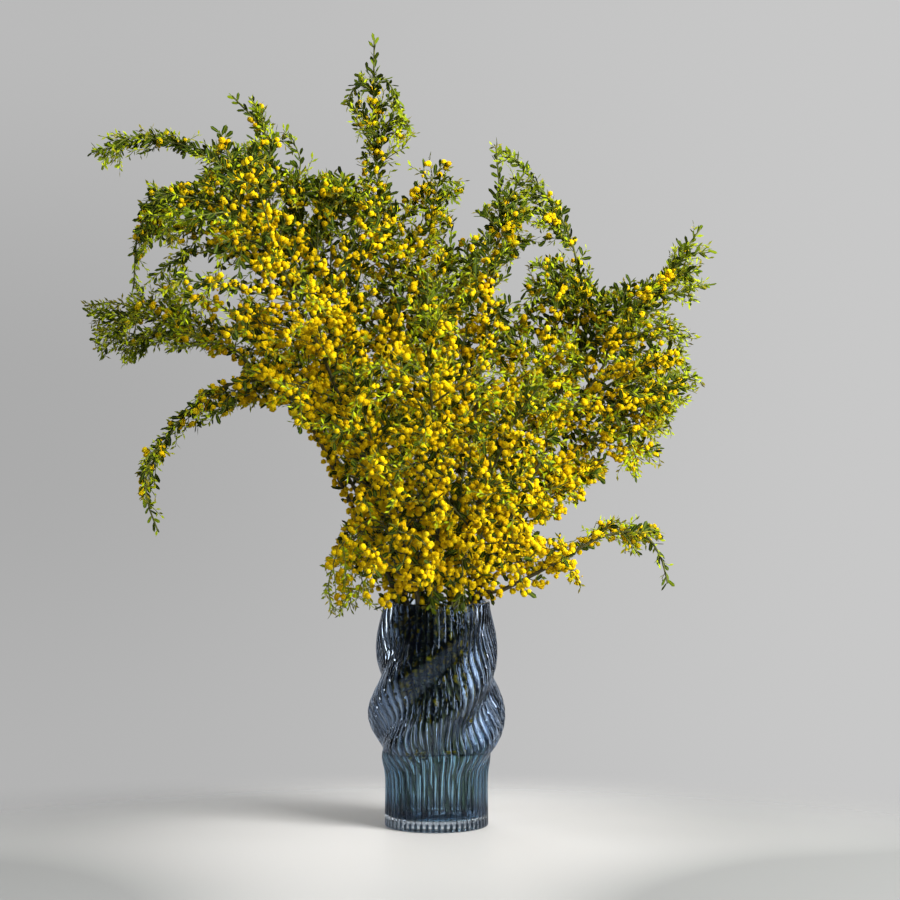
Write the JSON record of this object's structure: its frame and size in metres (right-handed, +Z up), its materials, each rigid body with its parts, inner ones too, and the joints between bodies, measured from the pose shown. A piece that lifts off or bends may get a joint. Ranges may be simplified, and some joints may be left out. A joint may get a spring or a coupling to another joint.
{
  "type": "golden wattle sprig in vase",
  "caption": "Loose bunch of flowering golden wattle branches standing in water in a twisted, ribbed, blue-tinted glass vase.",
  "frame": {"origin": "centre of the vase's foot, on the surface it stands on", "axes": "+Z up along the vase's axis, -Y toward the viewer of the picture, +X to the right"},
  "size_m": [0.7026, 0.4612, 0.8751],
  "materials": {
    "glass": "clear blue-grey, ribbed",
    "water": "clear liquid",
    "bark": "green-brown bark",
    "leaf": "satin phyllode",
    "bloom": "fluffy flower head"
  },
  "bodies": {
    "root": {"vase": "glass", "water": "water", "branch_left_low": "bark", "branch_left_reach": "bark", "branch_left_droop": "bark", "branch_left_high": "bark", "branch_left_upright": "bark", "branch_top": "bark", "branch_centre_right": "bark", "branch_right_bent": "bark", "branch_right_high": "bark", "branch_right_mid": "bark", "branch_right_low": "bark", "branch_front_left": "bark", "branch_front_right": "bark", "branch_front_mid": "bark", "branch_back_left": "bark", "branch_back_right": "bark", "branch_back_up": "bark"}
  },
  "joints": []
}
